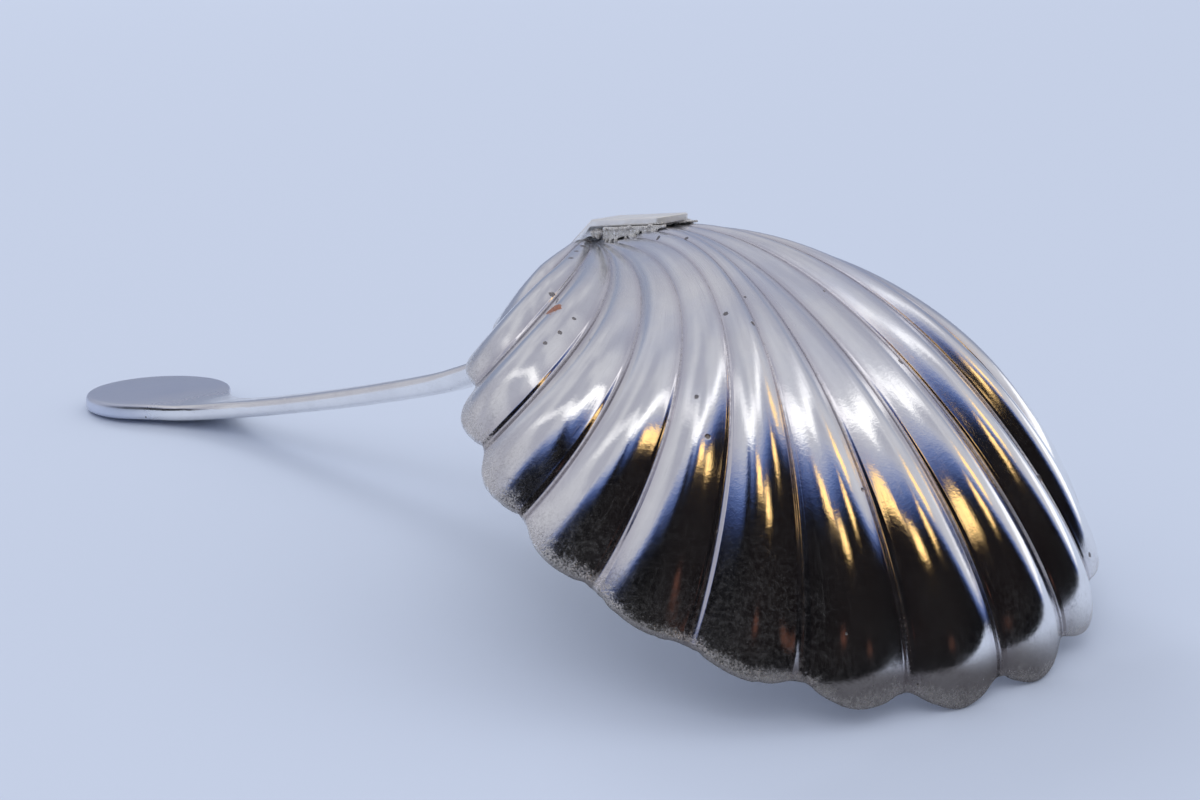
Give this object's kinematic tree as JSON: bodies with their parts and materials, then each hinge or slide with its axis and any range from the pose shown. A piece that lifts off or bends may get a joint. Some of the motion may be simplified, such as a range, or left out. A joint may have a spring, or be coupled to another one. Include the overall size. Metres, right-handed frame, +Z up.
{
  "type": "sugar spoon",
  "caption": "Small silver sugar spoon with a fluted shell bowl and a bent strip handle that ends in a flat disc, lying face down.",
  "frame": {"origin": "on the table, under the middle of the whole spoon", "axes": "+X along the spoon towards the front of the bowl, +Y across it, +Z up from the table; the spoon lies face down"},
  "size_m": [0.1276, 0.0572, 0.0329],
  "materials": {
    "bowl_silver": "polished silver, worn, with fine scratches and a scuffed rim",
    "handle_silver": "polished silver with fine lengthwise scratches",
    "silver_solder": "rough, grainy silver solder"
  },
  "bodies": {
    "root": {"shell_bowl": "bowl_silver", "handle": "handle_silver", "solder_fillet": "silver_solder"}
  },
  "joints": []
}
